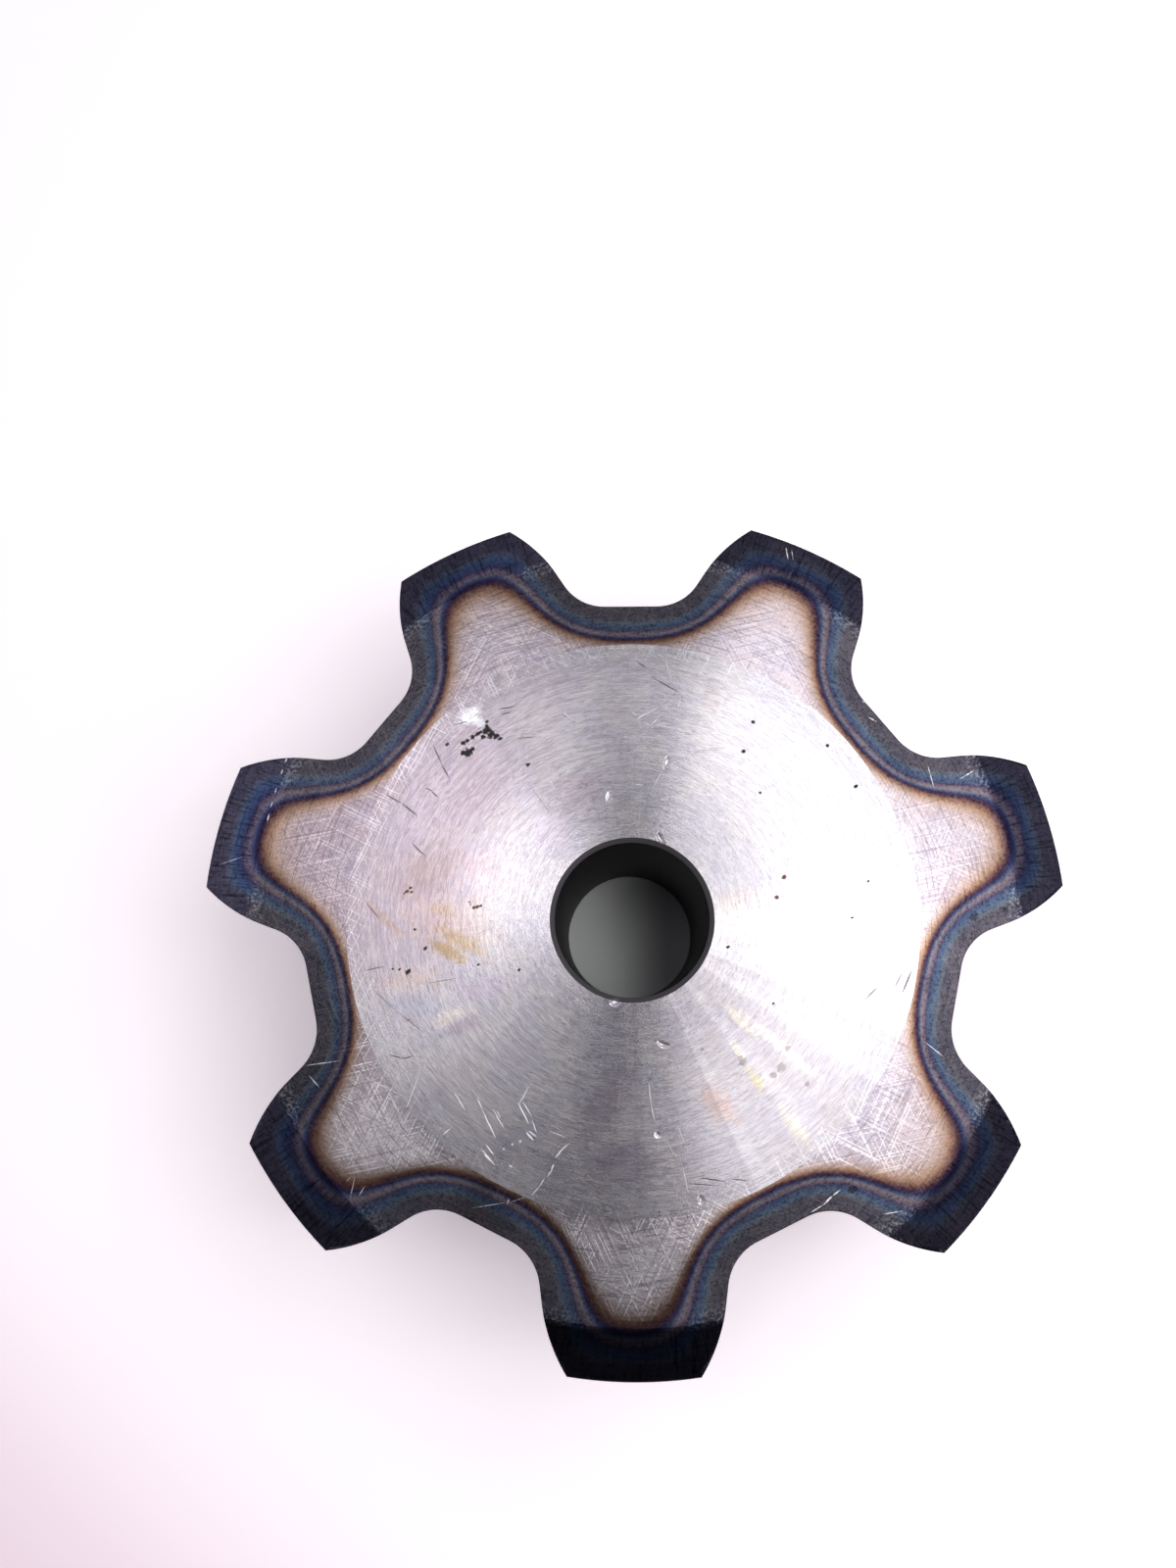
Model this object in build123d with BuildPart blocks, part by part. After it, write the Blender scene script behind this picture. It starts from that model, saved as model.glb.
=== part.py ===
from build123d import *
import os
from math import cos, pi, radians, sin, tan

# The chain that the wheel drives
PITCH = 57.15
BARREL_DIAMETER = 22.2
TEETH = 7

# Tooth gap, from its root outwards: flat, hollow seat, straight flank, rounded flank
ROOT_FLAT_WIDTH = 9.0
SEAT_RADIUS = 8.5
SEAT_TURN = 56.7
FLANK_LENGTH = 3.0
FLANK_RADIUS = 28.0

# Toothed plate
OUTSIDE_DIAMETER = 145.2
PLATE_THICKNESS = 22.2
BEVEL_WIDTH = 8.3
BEVEL_ANGLE = 8.0

# Hub, on one side only
HUB_DIAMETER = 76.2
HUB_LENGTH = 31.8
HUB_ROOT_FILLET = 3.0
HUB_END_CHAMFER = 1.5

# Bore, and the shallow facing cut round it on the flush side
BORE_DIAMETER = 26.0
BORE_CHAMFER = 0.8
FACED_DIAMETER = 95.6
FACED_DEPTH = 0.1

# How far a cutter runs past the metal that it clears
CUTTER_RUNOUT = 5.0

# Origin: on the bore's axis, in the middle of the plate's thickness, where the chain runs.
# +Z leaves through the flush face, the hub points down, and one tooth points along -Y.
plate_top = PLATE_THICKNESS / 2
plate_bottom = -PLATE_THICKNESS / 2
hub_end = plate_bottom - HUB_LENGTH
faced_top = plate_top - FACED_DEPTH
tip_radius = OUTSIDE_DIAMETER / 2
bevel_radius = tip_radius - BEVEL_WIDTH
bevel_drop = BEVEL_WIDTH * tan(radians(BEVEL_ANGLE))
hub_radius = HUB_DIAMETER / 2
bore_radius = BORE_DIAMETER / 2

# The chain's barrels lie on the pitch circle and rest on the root flats
pitch_radius = PITCH / (2 * sin(pi / TEETH))
root_distance = pitch_radius - BARREL_DIAMETER / 2
half_step = pi / TEETH
tooth_line = Axis((0, 0, 0), (cos(half_step), sin(half_step), 0))
first_gap_angle = -90 + 180 / TEETH

# One tooth gap, opening along +X. Its rounded flank runs on past the tip circle to the
# middle line of the tooth, where the next gap's flank would meet it.
with BuildSketch() as tooth_gap:
    with BuildLine() as gap_edge:
        root_flat = Line((root_distance, 0), (root_distance, ROOT_FLAT_WIDTH / 2))
        seat = JernArc(root_flat @ 1, root_flat % 1, SEAT_RADIUS, -SEAT_TURN)
        flank = Line(seat @ 1, seat @ 1 + (seat % 1) * FLANK_LENGTH)
        brow = JernArc(flank @ 1, flank % 1, FLANK_RADIUS, tooth_line)
        mouth = max(tip_radius, (brow @ 1).length) + CUTTER_RUNOUT
        Polyline(
            brow @ 1,
            (mouth * cos(half_step), mouth * sin(half_step)),
            (mouth, mouth * sin(half_step)),
            (mouth, 0),
        )
        mirror(about=Plane.XZ)
    make_face()

with BuildPart() as sprocket:
    # Disc, turned with a shallow bevel on both sides of its rim
    with BuildSketch(Plane.XZ):
        with BuildLine():
            Polyline(
                (0, plate_bottom),
                (bevel_radius, plate_bottom),
                (tip_radius, plate_bottom + bevel_drop),
                (tip_radius, plate_top - bevel_drop),
                (bevel_radius, plate_top),
                (0, plate_top),
                close=True,
            )
        make_face()
    revolve(axis=Axis.Z)

    # Hub, blended into the plate and chamfered at its free end
    with BuildSketch(Plane.XY.offset(hub_end)):
        Circle(hub_radius)
    extrude(amount=HUB_LENGTH)
    hub_rims = (
        sprocket.edges()
        .filter_by(GeomType.CIRCLE)
        .filter_by(lambda rim: abs(rim.radius - hub_radius) < 0.001)
        .sort_by(Axis.Z)
    )
    chamfer(hub_rims[0], HUB_END_CHAMFER)
    fillet(hub_rims[-1], HUB_ROOT_FILLET)

    # Tooth gaps, cut through the plate
    with BuildSketch(Plane.XY.offset(plate_bottom)):
        with PolarLocations(0, TEETH, start_angle=first_gap_angle):
            add(tooth_gap.sketch)
    extrude(amount=PLATE_THICKNESS, mode=Mode.SUBTRACT)

    # Facing cut on the flush side
    with BuildSketch(Plane.XY.offset(faced_top)):
        Circle(FACED_DIAMETER / 2)
    extrude(amount=FACED_DEPTH, mode=Mode.SUBTRACT)

    # Plain bore, chamfered at both mouths
    with BuildSketch(Plane.XY.offset(hub_end)):
        Circle(bore_radius)
    extrude(amount=HUB_LENGTH + PLATE_THICKNESS, mode=Mode.SUBTRACT)
    bore_mouths = (
        sprocket.edges()
        .filter_by(GeomType.CIRCLE)
        .filter_by(lambda rim: abs(rim.radius - bore_radius) < 0.001)
    )
    chamfer(bore_mouths, BORE_CHAMFER)

sprocket.part.label = "sprocket"

os.makedirs("parts", exist_ok=True)
export_step(sprocket.part, "parts/sprocket.step")
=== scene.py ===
from math import acos, asin, atan2, cos, degrees, hypot, pi, radians, sin, tan

import bmesh
import bpy
import numpy as np
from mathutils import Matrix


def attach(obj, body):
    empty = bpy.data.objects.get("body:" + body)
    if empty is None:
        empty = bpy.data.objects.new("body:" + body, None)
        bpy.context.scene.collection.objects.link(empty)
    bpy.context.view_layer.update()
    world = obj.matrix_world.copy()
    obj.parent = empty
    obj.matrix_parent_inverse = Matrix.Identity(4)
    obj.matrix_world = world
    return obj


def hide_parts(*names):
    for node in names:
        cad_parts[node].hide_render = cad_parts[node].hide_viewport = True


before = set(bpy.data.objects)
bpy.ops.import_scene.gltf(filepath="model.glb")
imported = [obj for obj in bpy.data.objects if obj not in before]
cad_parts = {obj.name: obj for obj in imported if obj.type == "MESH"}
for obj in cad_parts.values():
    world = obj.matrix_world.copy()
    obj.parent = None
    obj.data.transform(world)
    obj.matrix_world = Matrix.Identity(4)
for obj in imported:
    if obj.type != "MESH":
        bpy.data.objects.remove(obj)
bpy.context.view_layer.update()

MM = 0.001

# Sizes of the sprocket in millimetres, as in its drawing
PITCH = 57.15
BARREL_DIAMETER = 22.2
TEETH = 7
ROOT_FLAT_WIDTH = 9.0
SEAT_RADIUS = 8.5
SEAT_TURN = radians(56.7)
FLANK_LENGTH = 3.0
FLANK_RADIUS = 28.0
TIP_RADIUS = 72.6
PLATE_TOP = 11.1
PLATE_BOTTOM = -11.1
BEVEL_WIDTH = 8.3
BEVEL_ANGLE = radians(8.0)
HUB_RADIUS = 38.1
HUB_END = -42.9
HUB_ROOT_FILLET = 3.0
HUB_END_CHAMFER = 1.5
BORE_RADIUS = 13.0
BORE_CHAMFER = 0.8
FACED_RADIUS = 47.8
FACED_DEPTH = 0.1
FACED_RUNOUT = 4.5

BEVEL_RADIUS = TIP_RADIUS - BEVEL_WIDTH
FACED_TOP = PLATE_TOP - FACED_DEPTH
ROOT_RADIUS = PITCH / (2 * sin(pi / TEETH)) - BARREL_DIAMETER / 2

# Small softening of the sharp edges, which only the finished mesh has
EDGE_BREAK = 0.2


# The tooth outline

def half_gap():
    """Points from the middle of a root to the middle of the next tooth, in a gap that opens along +X."""
    seat_centre = np.array([ROOT_RADIUS + SEAT_RADIUS, ROOT_FLAT_WIDTH / 2])
    along_flank = np.array([sin(SEAT_TURN), cos(SEAT_TURN)])
    into_gap = np.array([cos(SEAT_TURN), -sin(SEAT_TURN)])
    seat_end = seat_centre - SEAT_RADIUS * into_gap
    brow_start = seat_end + FLANK_LENGTH * along_flank
    brow_centre = brow_start - FLANK_RADIUS * into_gap
    points = [np.array([ROOT_RADIUS, y]) for y in np.linspace(0, ROOT_FLAT_WIDTH / 2, 5)[:-1]]
    for turn in np.linspace(0, SEAT_TURN, 13)[:-1]:
        points.append(seat_centre + SEAT_RADIUS * np.array([-cos(turn), sin(turn)]))
    for share in np.linspace(0, 1, 4)[:-1]:
        points.append(seat_end + share * FLANK_LENGTH * along_flank)
    # The brow ends where it meets the tip circle
    reach = hypot(*brow_centre)
    meet = (FLANK_RADIUS ** 2 + reach ** 2 - TIP_RADIUS ** 2) / (2 * FLANK_RADIUS * reach)
    first = atan2(into_gap[1], into_gap[0])
    last = atan2(-brow_centre[1], -brow_centre[0]) + acos(meet)
    for turn in np.linspace(first, last, 15):
        points.append(brow_centre + FLANK_RADIUS * np.array([cos(turn), sin(turn)]))
    corner = atan2(points[-1][1], points[-1][0])
    for turn in np.linspace(corner, pi / TEETH, 9)[1:]:
        points.append(TIP_RADIUS * np.array([cos(turn), sin(turn)]))
    return np.array(points)


def whole_outline():
    """The closed outline, tooth after tooth, with no point twice."""
    half = half_gap()
    mirrored = half[::-1] * [1, -1]
    gap = np.concatenate([mirrored[1:], half[1:]])
    points = []
    for number in range(TEETH):
        turn = -pi / 2 + pi / TEETH + number * 2 * pi / TEETH
        spin = np.array([[cos(turn), -sin(turn)], [sin(turn), cos(turn)]])
        points.append(gap @ spin.T)
    return np.concatenate(points)


# The finished mesh: one closed skin, drawn ring after ring round the bore's axis

OUTLINE = whole_outline()
SIDES = len(OUTLINE)
ANGLES = np.arctan2(OUTLINE[:, 1], OUTLINE[:, 0])
DIRECTIONS = np.column_stack([np.cos(ANGLES), np.sin(ANGLES)])


def outline_normals():
    """Directions that point out of the metal, one for each outline point."""
    step = np.roll(OUTLINE, -1, axis=0) - np.roll(OUTLINE, 1, axis=0)
    step /= np.hypot(*step.T)[:, None]
    return np.column_stack([step[:, 1], -step[:, 0]])


NORMALS = outline_normals()


def round_ring(radius, height):
    """A circle about the axis."""
    return np.column_stack([DIRECTIONS * radius, np.full(SIDES, height)])


def radial_ring(radii, heights):
    """A ring with its own radius and height at each outline point."""
    return np.column_stack([DIRECTIONS * radii[:, None], heights])


def bevel_drop(radii):
    """How far the bevel lies below the plate's flat face at these radii."""
    return np.maximum(0, radii - BEVEL_RADIUS) * tan(BEVEL_ANGLE)


def edge_ring(inset, below, side):
    """The outline moved into the metal, and moved below the face of that side of the plate."""
    places = OUTLINE - NORMALS * inset
    radii = np.hypot(*places.T)
    face = PLATE_TOP if side > 0 else PLATE_BOTTOM
    return np.column_stack([places, face - side * (bevel_drop(radii) + below)])


def face_rings(side, inner_radius, bevel_steps, flat_steps):
    """Rings over one face of the plate, from its edge to the start of the bevel and on to a circle."""
    edge = edge_ring(EDGE_BREAK, 0, side)
    outer = np.hypot(edge[:, 0], edge[:, 1])
    crease = np.minimum(BEVEL_RADIUS, outer - 2.0)
    face = PLATE_TOP if side > 0 else PLATE_BOTTOM
    rings = []
    for share in np.linspace(0, 1, bevel_steps + 1):
        radii = outer + (crease - outer) * share
        rings.append(radial_ring(radii, face - side * bevel_drop(radii)))
    crease_place = len(rings) - 1
    for share in np.linspace(0, 1, flat_steps + 1)[1:]:
        radii = crease + (inner_radius - crease) * share
        rings.append(radial_ring(radii, np.full(SIDES, face)))
    return rings, crease_place


def edge_break_rings(side):
    """The softened edge between the wall and a face, from the wall inwards."""
    rings = []
    for turn in np.linspace(0, pi / 2, 4)[:-1]:
        rings.append(edge_ring(EDGE_BREAK * (1 - cos(turn)), EDGE_BREAK * (1 - sin(turn)), side))
    return rings


def skin_rings():
    """All rings in order, and the places of those that are sharp edges."""
    rings = edge_break_rings(1)
    sharp = []
    top, crease = face_rings(1, FACED_RADIUS, 9, 16)
    sharp.append(len(rings) + crease)
    rings += top
    # The facing cut runs out softly
    for radius in np.linspace(FACED_RADIUS, BORE_RADIUS + BORE_CHAMFER, 43)[1:]:
        run_out = max(0.0, 1 - (FACED_RADIUS - radius) / FACED_RUNOUT)
        rings.append(round_ring(radius, FACED_TOP + run_out * FACED_DEPTH))
    sharp.append(len(rings) - 1)
    sharp.append(len(rings))
    for height in np.linspace(FACED_TOP - BORE_CHAMFER, HUB_END + BORE_CHAMFER, 15):
        rings.append(round_ring(BORE_RADIUS, height))
    sharp.append(len(rings) - 1)
    sharp.append(len(rings))
    for radius in np.linspace(BORE_RADIUS + BORE_CHAMFER, HUB_RADIUS - HUB_END_CHAMFER, 13):
        rings.append(round_ring(radius, HUB_END))
    sharp.append(len(rings) - 1)
    sharp.append(len(rings))
    for height in np.linspace(HUB_END + HUB_END_CHAMFER, PLATE_BOTTOM - HUB_ROOT_FILLET, 9):
        rings.append(round_ring(HUB_RADIUS, height))
    for turn in np.linspace(0, pi / 2, 9)[1:]:
        radius = HUB_RADIUS + HUB_ROOT_FILLET * (1 - cos(turn))
        rings.append(round_ring(radius, PLATE_BOTTOM - HUB_ROOT_FILLET * (1 - sin(turn))))
    bottom, crease = face_rings(-1, HUB_RADIUS + HUB_ROOT_FILLET, 5, 12)
    bottom = bottom[:-1][::-1]
    sharp.append(len(rings) + len(bottom) - 1 - crease)
    rings += bottom
    rings += edge_break_rings(-1)[::-1]
    low = edge_ring(0, EDGE_BREAK, -1)
    high = edge_ring(0, EDGE_BREAK, 1)
    for share in np.linspace(0, 1, 8)[1:-1]:
        rings.append(low + (high - low) * share)
    return rings, sharp


def draw_skin(name):
    """The closed skin: a circle that is extruded ring by ring, then bridged back to its start."""
    rings, sharp = skin_rings()
    bpy.ops.object.select_all(action="DESELECT")
    bpy.ops.mesh.primitive_circle_add(vertices=SIDES, radius=TIP_RADIUS * MM)
    piece = bpy.context.object
    piece.name = name
    bpy.ops.object.mode_set(mode="EDIT")
    bpy.ops.mesh.select_mode(type="VERT")
    skin = bmesh.from_edit_mesh(piece.data)
    place_round = skin.verts.layers.int.new("place_round")
    place_in = skin.verts.layers.int.new("place_in")
    for number, corner in enumerate(skin.verts):
        corner[place_round] = number
        corner.co = rings[0][number] * MM
    for depth, ring in enumerate(rings[1:], start=1):
        bpy.ops.mesh.extrude_region_move()
        skin = bmesh.from_edit_mesh(piece.data)
        place_round = skin.verts.layers.int["place_round"]
        place_in = skin.verts.layers.int["place_in"]
        for corner in skin.verts:
            if corner.select:
                corner.co = ring[corner[place_round]] * MM
                corner[place_in] = depth
    for edge in skin.edges:
        if edge.is_boundary:
            edge.select_set(True)
    bmesh.update_edit_mesh(piece.data)
    bpy.ops.mesh.bridge_edge_loops()
    bpy.ops.mesh.select_all(action="SELECT")
    bpy.ops.mesh.normals_make_consistent(inside=False)
    bpy.ops.object.mode_set(mode="OBJECT")
    return piece, sharp


# Marks that knocks have left in the metal: place, half length, half width, turn in degrees and depth

DENTS = [
    (6.0, 26.8, 1.1, 0.45, 72, 0.28),
    (-3.9, 20.9, 0.9, 0.4, 70, 0.14),
    (5.1, -20.5, 1.1, 0.35, -14, 0.25),
    (4.0, -34.8, 0.45, 0.35, 0, 0.18),
    (10.9, -44.8, 0.6, 0.5, -30, 0.25),
    (34.9, -43.3, 0.9, 0.7, 20, 0.06),
    (5.0, 13.5, 1.3, 0.45, -57, 0.35),
    (-2.8, -13.6, 1.0, 0.45, 10, 0.3),
]


def mark_sharp_edges(piece, sharp):
    """Marks the edges that run along the sharp rings."""
    skin = bmesh.new()
    skin.from_mesh(piece.data)
    place_in = skin.verts.layers.int["place_in"]
    for edge in skin.edges:
        first, second = edge.verts
        radius = hypot(first.co.x, first.co.y) / MM
        on_face = abs(first.co.z) <= PLATE_TOP * MM + 1e-6
        past_crease = on_face and FACED_RADIUS + 0.5 < radius < BEVEL_RADIUS - 0.01
        if first[place_in] == second[place_in] and first[place_in] in sharp and not past_crease:
            edge.smooth = False
    skin.to_mesh(piece.data)
    skin.free()


def press_dents(piece):
    """Divides the faces round the dents more finely, then pushes the metal down there."""
    lowest = FACED_TOP - 2 * BORE_CHAMFER
    bpy.ops.object.mode_set(mode="EDIT")
    bpy.ops.mesh.select_mode(type="FACE")
    bpy.ops.mesh.select_all(action="DESELECT")
    skin = bmesh.from_edit_mesh(piece.data)
    for face in skin.faces:
        x, y, z = face.calc_center_median() / MM
        if z > lowest:
            near = any(hypot(x - dent[0], y - dent[1]) < dent[2] * 1.2 + 0.4 for dent in DENTS)
            face.select_set(near)
    bmesh.update_edit_mesh(piece.data)
    bpy.ops.mesh.subdivide(number_cuts=4)
    skin = bmesh.from_edit_mesh(piece.data)
    for corner in skin.verts:
        x, y, z = corner.co / MM
        if z < lowest:
            continue
        for middle_x, middle_y, long, wide, turn, depth in DENTS:
            lean = radians(turn)
            u = ((x - middle_x) * cos(lean) + (y - middle_y) * sin(lean)) / long
            v = ((y - middle_y) * cos(lean) - (x - middle_x) * sin(lean)) / wide
            # One side of each dent is steeper, as a glancing knock leaves it
            reach = hypot(u, v + 0.35 * (1 - u * u) * (v < 0))
            if reach < 1:
                corner.co.z -= depth * (1 - reach ** 2) * MM
    bmesh.update_edit_mesh(piece.data)
    bpy.ops.object.mode_set(mode="OBJECT")


def distance_to_rim(places):
    """How deep in the metal each place lies, felt from the whole tooth outline at once, as heat is."""
    spans = np.roll(OUTLINE, -1, axis=0) - OUTLINE
    pieces_of_rim = []
    weights = []
    for share in (0.25, 0.75):
        pieces_of_rim.append(OUTLINE + spans * share)
        weights.append(np.hypot(*spans.T) / 2)
    rim = np.concatenate(pieces_of_rim)
    weights = np.concatenate(weights)
    depth = np.empty(len(places))
    for start in range(0, len(places), 2000):
        part = places[start:start + 2000]
        squares = ((part[:, None, :] - rim[None]) ** 2).sum(axis=2)
        depth[start:start + 2000] = pi / (weights / np.maximum(squares, 0.01)).sum(axis=1)
    return depth


def note_rim_depth(piece):
    """Stores the depth behind the rim on every corner, for the heat colours to follow."""
    count = len(piece.data.vertices)
    places = np.empty(count * 3)
    piece.data.vertices.foreach_get("co", places)
    places = places.reshape(-1, 3)[:, :2] / MM
    note = piece.data.attributes.new("rim_depth", "FLOAT", "POINT")
    note.data.foreach_set("value", distance_to_rim(places).astype(np.float32))


# Node helpers

def shade(red, green, blue):
    """A colour written as it looks on a screen, from 0 to 255, for a node."""
    parts = [red / 255, green / 255, blue / 255]
    return tuple(p / 12.92 if p <= 0.04045 else ((p + 0.055) / 1.055) ** 2.4 for p in parts) + (1.0,)


class Recipe:
    """The nodes of one material or node group, with short calls that add to them."""

    def __init__(self, tree):
        self.tree = tree
        self.tree.nodes.clear()

    def add(self, kind, **settings):
        node = self.tree.nodes.new(kind)
        for name, value in settings.items():
            setattr(node, name, value)
        return node

    def feed(self, socket, value):
        """Links a node's output into the socket, or sets the socket to a constant."""
        if isinstance(value, bpy.types.NodeSocket):
            self.tree.links.new(value, socket)
        else:
            socket.default_value = value

    def calc(self, operation, *values, clamp=False):
        node = self.add("ShaderNodeMath", operation=operation, use_clamp=clamp)
        for socket, value in zip(node.inputs, values):
            self.feed(socket, value)
        return node.outputs[0]

    def vector(self, operation, *values, scale=None):
        node = self.add("ShaderNodeVectorMath", operation=operation)
        for socket, value in zip(node.inputs, values):
            self.feed(socket, value)
        if scale is not None:
            self.feed(node.inputs["Scale"], scale)
        measured = operation in ("DOT_PRODUCT", "LENGTH", "DISTANCE")
        return node.outputs["Value" if measured else "Vector"]

    def join(self, x, y, z):
        node = self.add("ShaderNodeCombineXYZ")
        for socket, value in zip(node.inputs, (x, y, z)):
            self.feed(socket, value)
        return node.outputs[0]

    def turn(self, place, angle):
        """The place turned about Z by an angle in degrees."""
        node = self.add("ShaderNodeVectorRotate", rotation_type="Z_AXIS")
        self.feed(node.inputs["Vector"], place)
        node.inputs["Angle"].default_value = radians(angle)
        return node.outputs[0]

    def fade(self, value, start, end, low=0.0, high=1.0):
        """Goes smoothly from low to high while the value goes from start to end."""
        node = self.add("ShaderNodeMapRange", interpolation_type="SMOOTHSTEP")
        for socket, setting in zip(node.inputs[:5], (value, start, end, low, high)):
            self.feed(socket, setting)
        return node.outputs[0]

    def noise(self, place, scale=1.0, detail=2.0, roughness=0.5, colour=False):
        node = self.add("ShaderNodeTexNoise")
        self.feed(node.inputs["Vector"], place)
        node.inputs["Scale"].default_value = scale
        node.inputs["Detail"].default_value = detail
        node.inputs["Roughness"].default_value = roughness
        return node.outputs["Color" if colour else "Fac"]

    def mix(self, factor, first, second, blend="MIX"):
        node = self.add("ShaderNodeMix", data_type="RGBA", blend_type=blend)
        self.feed(node.inputs[0], factor)
        self.feed(node.inputs[6], first)
        self.feed(node.inputs[7], second)
        return node.outputs[2]

    def mix_value(self, factor, first, second):
        node = self.add("ShaderNodeMix", data_type="FLOAT")
        self.feed(node.inputs[0], factor)
        self.feed(node.inputs[2], first)
        self.feed(node.inputs[3], second)
        return node.outputs[0]

    def steps(self, value, stops):
        """A colour ramp, from a list of places and colours."""
        node = self.add("ShaderNodeValToRGB")
        ramp = node.color_ramp
        ramp.elements[0].position, ramp.elements[0].color = stops[0]
        ramp.elements[1].position, ramp.elements[1].color = stops[-1]
        for position, colour in stops[1:-1]:
            ramp.elements.new(position).color = colour
        self.feed(node.inputs[0], value)
        return node.outputs[0]

    def group(self, tree, *values):
        """A node group's mask for these values, in the order of its sockets."""
        node = self.add("ShaderNodeGroup", node_tree=tree)
        for socket, value in zip(node.inputs, values):
            self.feed(socket, value)
        return node.outputs[0]

    def bump(self, height, distance, under=None):
        """Relief whose height is given from 0 to 1, and whose depth in millimetres is the distance."""
        node = self.add("ShaderNodeBump")
        node.inputs["Strength"].default_value = 1.0
        node.inputs["Distance"].default_value = distance * MM
        self.feed(node.inputs["Height"], height)
        if under is not None:
            self.feed(node.inputs["Normal"], under)
        return node.outputs[0]


def new_group(name, labels):
    """A node group that works on plain numbers: its tree, its recipe, and its input sockets by name."""
    tree = bpy.data.node_groups.new(name, "ShaderNodeTree")
    for label in labels:
        tree.interface.new_socket(label, in_out="INPUT", socket_type="NodeSocketFloat")
    tree.interface.new_socket("Mask", in_out="OUTPUT", socket_type="NodeSocketFloat")
    recipe = Recipe(tree)
    source = recipe.add("NodeGroupInput")
    return tree, recipe, {label: source.outputs[label] for label in labels}


def finish_group(recipe, result):
    end = recipe.add("NodeGroupOutput")
    recipe.feed(end.inputs[0], result)


def scratch_group():
    """1 along a thin line that tapers at both ends, and 0 elsewhere, worked out in plain numbers."""
    tree, recipe, given = new_group("scratch line", (
        "X", "Y", "Along x", "Along y", "Along start", "Across x", "Across y", "Across start",
    ))
    along = recipe.calc("MULTIPLY_ADD", given["X"], given["Along x"], given["Along start"])
    along = recipe.calc("MULTIPLY_ADD", given["Y"], given["Along y"], along)
    across = recipe.calc("MULTIPLY_ADD", given["X"], given["Across x"], given["Across start"])
    across = recipe.calc("MULTIPLY_ADD", given["Y"], given["Across y"], across)
    taper = recipe.calc("SUBTRACT", along, recipe.calc("MULTIPLY", along, along))
    beside = recipe.calc("MULTIPLY", recipe.calc("ABSOLUTE", across), -1.0)
    finish_group(recipe, recipe.calc("MULTIPLY_ADD", taper, 8.0, beside, clamp=True))
    return tree


def patch_group():
    """1 inside a ragged ellipse and 0 outside it, worked out in plain numbers."""
    tree, recipe, given = new_group("ragged patch", (
        "X", "Y", "Long x", "Long y", "Long start", "Wide x", "Wide y", "Wide start", "Ragged", "Inner",
    ))
    long = recipe.calc("MULTIPLY_ADD", given["X"], given["Long x"], given["Long start"])
    long = recipe.calc("MULTIPLY_ADD", given["Y"], given["Long y"], long)
    wide = recipe.calc("MULTIPLY_ADD", given["X"], given["Wide x"], given["Wide start"])
    wide = recipe.calc("MULTIPLY_ADD", given["Y"], given["Wide y"], wide)
    reach = recipe.calc("MULTIPLY_ADD", wide, wide, recipe.calc("MULTIPLY", long, long))
    reach = recipe.calc("ADD", recipe.calc("SQRT", reach), given["Ragged"])
    finish_group(recipe, recipe.fade(reach, 1.0, given["Inner"]))
    return tree


SCRATCH = scratch_group()
PATCH = patch_group()


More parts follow.
